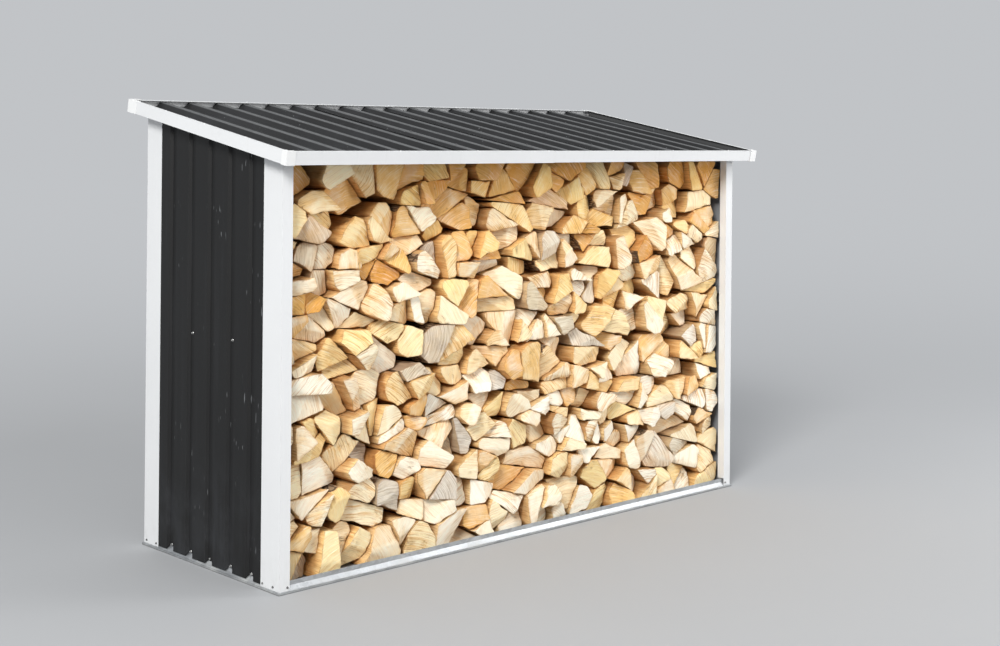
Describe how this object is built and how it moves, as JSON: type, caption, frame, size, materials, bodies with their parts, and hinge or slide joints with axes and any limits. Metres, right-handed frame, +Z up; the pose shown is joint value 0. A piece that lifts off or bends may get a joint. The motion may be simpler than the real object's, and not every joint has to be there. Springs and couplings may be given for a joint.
{
  "type": "log store",
  "caption": "Free-standing log store with ribbed sheet-steel walls and lean-to roof, open at the front and filled with split firewood",
  "frame": {"origin": "On the ground, under the middle of the roof", "axes": "X runs along the open front from left to right, Y from the open front to the back wall, Z up"},
  "size_m": [2.45, 0.9924, 1.62],
  "materials": {
    "galvanised_steel": "dull spangled zinc",
    "white_steel": "semi-gloss white paint",
    "anthracite_steel": "satin dark grey paint",
    "white_plastic": "satin white",
    "firewood": "dry split wood"
  },
  "bodies": {
    "root": {"back_brace": "galvanised_steel", "back_wall_sheet_1": "anthracite_steel", "back_wall_sheet_2": "anthracite_steel", "back_wall_sheet_3": "anthracite_steel", "back_wall_sheet_4": "anthracite_steel", "back_wall_sheet_5": "anthracite_steel", "base_rail_back": "galvanised_steel", "base_rail_front": "galvanised_steel", "base_rail_left": "galvanised_steel", "base_rail_right": "galvanised_steel", "corner_cap_back_left": "white_plastic", "corner_cap_back_right": "white_plastic", "corner_cap_front_left": "white_plastic", "corner_cap_front_right": "white_plastic", "corner_post_back_left": "white_steel", "corner_post_back_right": "white_steel", "corner_post_front_left": "white_steel", "corner_post_front_right": "white_steel", "firewood_course_1": "firewood", "firewood_course_2": "firewood", "firewood_course_3": "firewood", "firewood_course_4": "firewood", "firewood_course_5": "firewood", "firewood_course_6": "firewood", "firewood_course_7": "firewood", "roof_sheet_1": "anthracite_steel", "roof_sheet_2": "anthracite_steel", "roof_sheet_3": "anthracite_steel", "roof_sheet_4": "anthracite_steel", "roof_sheet_5": "anthracite_steel", "roof_trim_back_left": "white_steel", "roof_trim_back_right": "white_steel", "roof_trim_front_left": "white_steel", "roof_trim_front_right": "white_steel", "roof_trim_left": "white_steel", "roof_trim_right": "white_steel", "side_brace_left": "galvanised_steel", "side_brace_right": "galvanised_steel", "side_wall_left": "anthracite_steel", "side_wall_right": "anthracite_steel", "top_rail_back": "galvanised_steel", "top_rail_front": "galvanised_steel", "top_rail_left": "galvanised_steel", "top_rail_right": "galvanised_steel"}
  },
  "joints": []
}
